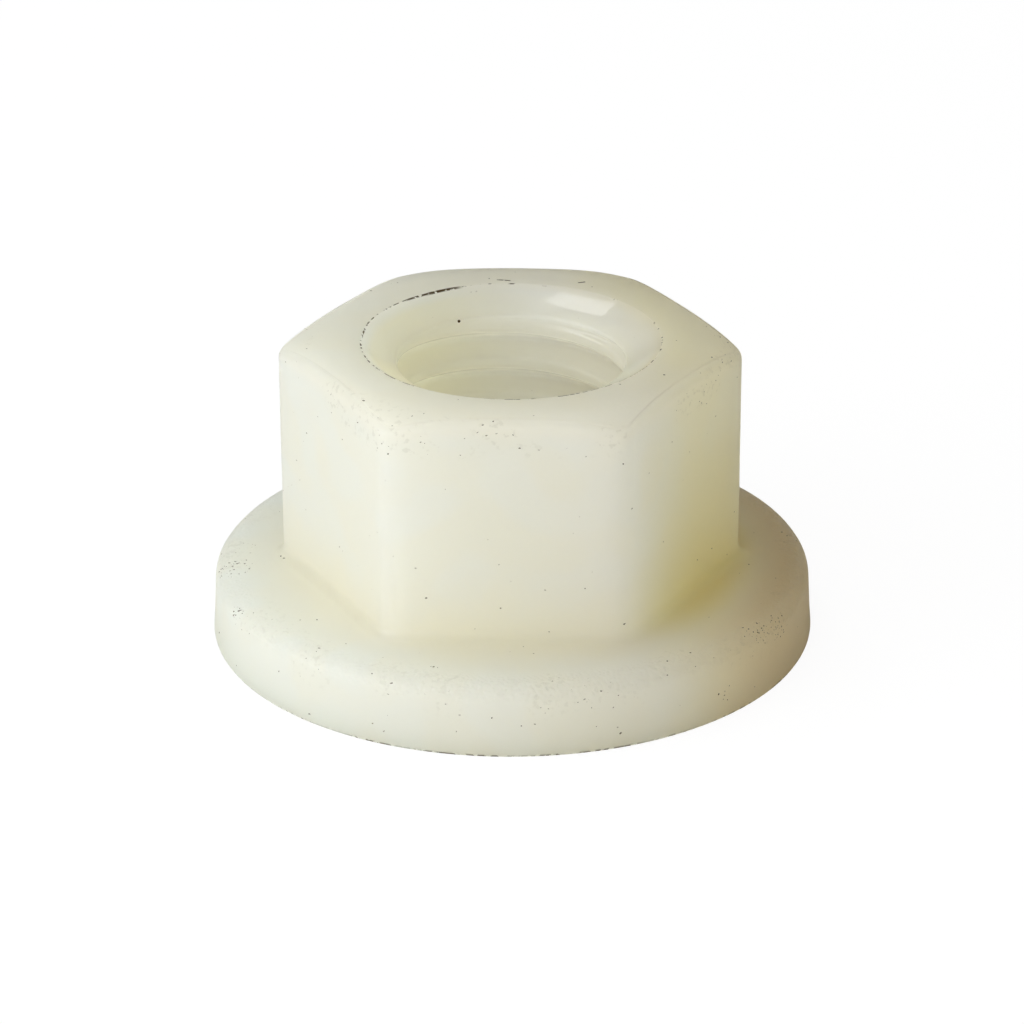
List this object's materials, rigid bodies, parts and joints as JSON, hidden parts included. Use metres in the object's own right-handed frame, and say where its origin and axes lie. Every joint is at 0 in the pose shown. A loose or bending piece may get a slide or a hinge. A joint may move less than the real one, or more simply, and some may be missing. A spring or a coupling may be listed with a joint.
{
  "type": "flange nut",
  "caption": "Moulded nylon hexagon nut with a crowned top, a broad round flange and a countersunk threaded bore, to clamp a bolt or stud without a washer.",
  "frame": {"origin": "centre of the flange's bearing face, on the thread's axis", "axes": "+Z along the thread's axis out of the crown; +Y and -Y square to two opposite flats; +X towards a corner of the hexagon"},
  "size_m": [0.027, 0.027, 0.0137],
  "materials": {
    "nylon": "satin, milky translucent natural nylon with a fine moulded grain"
  },
  "bodies": {
    "root": {"flange_nut": "nylon"}
  },
  "joints": []
}
